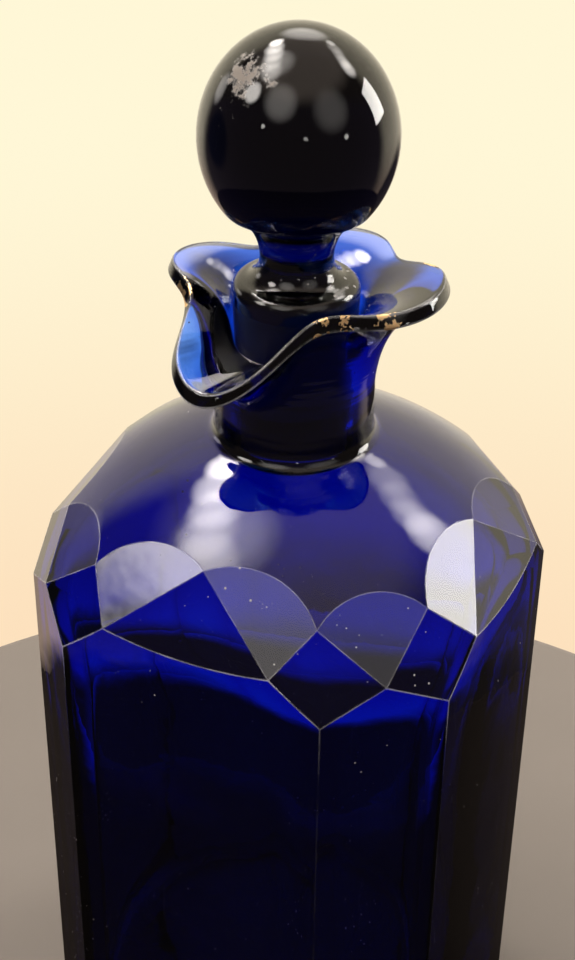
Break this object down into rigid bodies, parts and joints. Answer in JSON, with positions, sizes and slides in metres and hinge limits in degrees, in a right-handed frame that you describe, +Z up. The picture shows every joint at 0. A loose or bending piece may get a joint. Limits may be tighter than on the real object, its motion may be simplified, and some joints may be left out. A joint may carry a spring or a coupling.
{
  "type": "decanter bottle with ball stopper",
  "caption": "Square cut-glass bottle with canted corners, faceted shoulder, ruffled pouring lip and a lift-out ball stopper.",
  "frame": {"origin": "middle of the flat base, where it stands", "axes": "+Z up along the neck and the stopper; X and Y square to the wide faces; the pouring spout points between -X and -Y"},
  "size_m": [0.0928, 0.0928, 0.2403],
  "materials": {
    "bottle_glass": "polished cobalt-blue cut glass, with worn gilding on the rim of the lip",
    "stopper_glass": "polished solid cobalt-blue glass, nearly black where thick"
  },
  "bodies": {
    "bottle": {"bottle": "bottle_glass"},
    "stopper": {"stopper": "stopper_glass"}
  },
  "joints": [
    {"name": "stopper_lift", "type": "slide", "parent": "bottle", "child": "stopper", "axis": [0, 0, 1], "range_m": [0, 0.045]}
  ]
}
